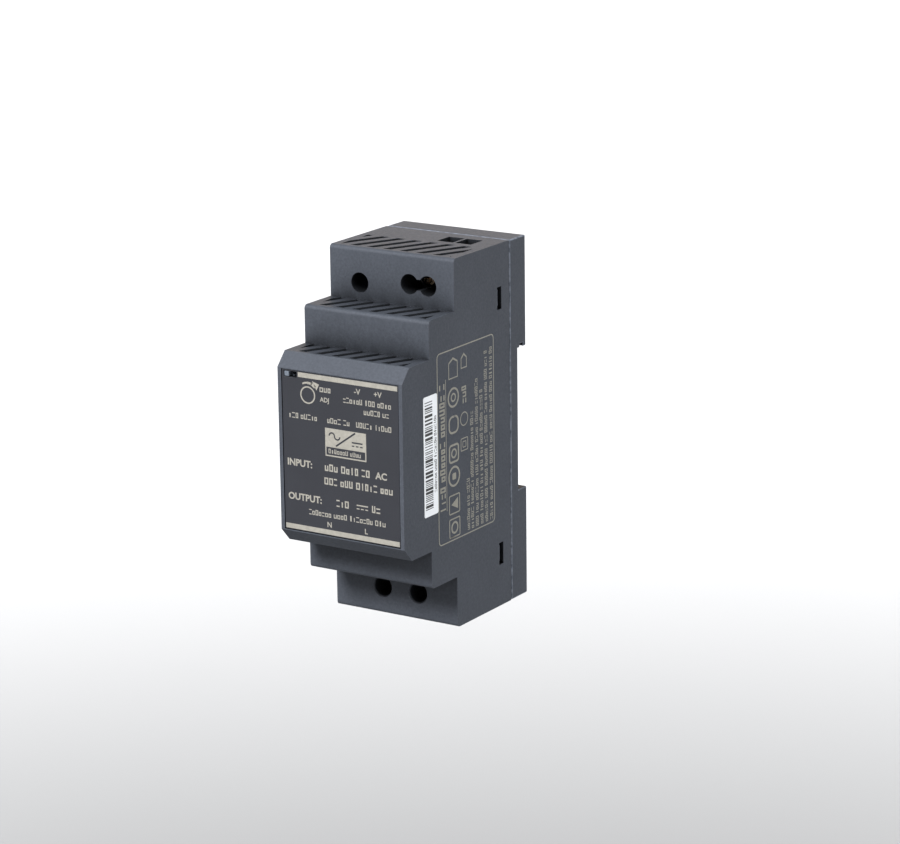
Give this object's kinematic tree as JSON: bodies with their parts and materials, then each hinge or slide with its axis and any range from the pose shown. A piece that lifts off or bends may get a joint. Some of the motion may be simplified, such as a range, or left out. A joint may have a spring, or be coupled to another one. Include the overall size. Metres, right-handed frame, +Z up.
{
  "type": "din rail power supply",
  "caption": "Power supply that clips on a 35 mm rail: stepped vented case, sprung rail latch, screw clamps top and bottom, trimmer and converter circuit inside.",
  "frame": {"origin": "centre of the face that sits on the rail, at half the case's width and half its height", "axes": "+Z up the case, +Y from the front towards the wall behind the rail, +X to the right of someone facing the front"},
  "size_m": [0.0349, 0.0545, 0.09],
  "materials": {
    "case_plastic": "fine spark-eroded texture, matt",
    "label_film": "smooth matt film with pale print",
    "sticker_paper": "matt white paper with black bars",
    "light_guide": "clear polished",
    "led_body": "translucent",
    "board_laminate": "solder mask over woven laminate",
    "insulation_film": "translucent film",
    "terminal_plastic": "moulded, matt",
    "contact_copper": "tinned copper, dull",
    "clamp_steel": "zinc plated",
    "screw_steel": "zinc plated, turned",
    "spring_steel": "drawn wire",
    "trimmer_plastic": "moulded, glossy",
    "rotor_plastic": "moulded, matt",
    "fuse_plastic": "moulded, glossy",
    "thermistor_coat": "lacquered disc",
    "absorber_coat": "dipped epoxy",
    "film_capacitor": "moulded box, glossy",
    "ferrite": "sintered, matt",
    "magnet_wire": "enamelled copper",
    "chip_epoxy": "moulded epoxy, matt",
    "can_sleeve": "shrunk sleeve over aluminium",
    "sink_aluminium": "rolled, matt",
    "bobbin_plastic": "moulded, matt",
    "winding_tape": "polyester tape",
    "safety_coat": "dipped epoxy"
  },
  "bodies": {
    "case": {"front_housing": "case_plastic", "rear_cover": "case_plastic", "latch_spring": "spring_steel", "front_label": "label_film", "side_sticker": "sticker_paper", "light_pipe": "light_guide", "status_led": "led_body", "main_board": "board_laminate", "control_board": "board_laminate", "insulation_sheet": "insulation_film", "output_terminal_block": "terminal_plastic", "input_terminal_block": "terminal_plastic", "output_contacts": "contact_copper", "input_contacts": "contact_copper", "trimmer_body": "trimmer_plastic", "input_fuse": "fuse_plastic", "inrush_thermistor": "thermistor_coat", "surge_absorber": "absorber_coat", "line_filter_capacitor": "film_capacitor", "line_choke_core": "ferrite", "line_choke_winding": "magnet_wire", "bridge_rectifier": "chip_epoxy", "bulk_capacitor": "can_sleeve", "primary_heat_sink": "sink_aluminium", "switching_transistor": "chip_epoxy", "transformer_core": "ferrite", "transformer_bobbin": "bobbin_plastic", "transformer_winding": "winding_tape", "safety_capacitor": "safety_coat", "optocoupler": "chip_epoxy", "controller_chip": "chip_epoxy", "output_heat_sink": "sink_aluminium", "output_rectifier": "chip_epoxy", "output_capacitors": "can_sleeve", "output_choke": "ferrite"},
    "rail_latch": {"rail_latch": "case_plastic"},
    "trimmer_rotor": {"trimmer_rotor": "rotor_plastic"},
    "output_clamp_1": {"output_clamp_1": "clamp_steel"},
    "output_screw_1": {"output_screw_1": "screw_steel"},
    "output_clamp_2": {"output_clamp_2": "clamp_steel"},
    "output_screw_2": {"output_screw_2": "screw_steel"},
    "input_clamp_1": {"input_clamp_1": "clamp_steel"},
    "input_screw_1": {"input_screw_1": "screw_steel"},
    "input_clamp_2": {"input_clamp_2": "clamp_steel"},
    "input_screw_2": {"input_screw_2": "screw_steel"}
  },
  "joints": [
    {"name": "latch_slide", "type": "slide", "parent": "case", "child": "rail_latch", "axis": [0, 0, -1], "range_m": [0, 0.003], "stiffness_N_per_m": 2500, "springref_m": -0.002, "deforming": ["latch_spring"]},
    {"name": "trimmer_turn", "type": "hinge", "parent": "case", "child": "trimmer_rotor", "pos_m": [-0.009, -0.0141, 0.0365], "axis": [0, 1, 0], "range_deg": [-130, 130]},
    {"name": "output_screw_1_turn", "type": "hinge", "parent": "case", "child": "output_screw_1", "pos_m": [0.00506, -0.0163, 0.03765], "axis": [0, 1, 0], "range_deg": [0, 2001.3]},
    {"name": "output_clamp_1_rise", "type": "slide", "parent": "case", "child": "output_clamp_1", "axis": [0, -1, 0], "range_m": [0, 0.0025]},
    {"name": "output_screw_2_turn", "type": "hinge", "parent": "case", "child": "output_screw_2", "pos_m": [0.01014, -0.0163, 0.03765], "axis": [0, 1, 0], "range_deg": [0, 2001.3]},
    {"name": "output_clamp_2_rise", "type": "slide", "parent": "case", "child": "output_clamp_2", "axis": [0, -1, 0], "range_m": [0, 0.0025]},
    {"name": "input_screw_1_turn", "type": "hinge", "parent": "case", "child": "input_screw_1", "pos_m": [-0.00403, -0.0163, -0.0382], "axis": [0, 1, 0], "range_deg": [0, 2001.3]},
    {"name": "input_clamp_1_rise", "type": "slide", "parent": "case", "child": "input_clamp_1", "axis": [0, -1, 0], "range_m": [0, 0.0025]},
    {"name": "input_screw_2_turn", "type": "hinge", "parent": "case", "child": "input_screw_2", "pos_m": [0.00613, -0.0163, -0.0382], "axis": [0, 1, 0], "range_deg": [0, 2001.3]},
    {"name": "input_clamp_2_rise", "type": "slide", "parent": "case", "child": "input_clamp_2", "axis": [0, -1, 0], "range_m": [0, 0.0025]}
  ],
  "couplings": [
    {"joint": "output_screw_1_turn", "follows": "output_clamp_1_rise", "rad_per_m": 13963},
    {"joint": "output_screw_2_turn", "follows": "output_clamp_2_rise", "rad_per_m": 13963},
    {"joint": "input_screw_1_turn", "follows": "input_clamp_1_rise", "rad_per_m": 13963},
    {"joint": "input_screw_2_turn", "follows": "input_clamp_2_rise", "rad_per_m": 13963}
  ]
}
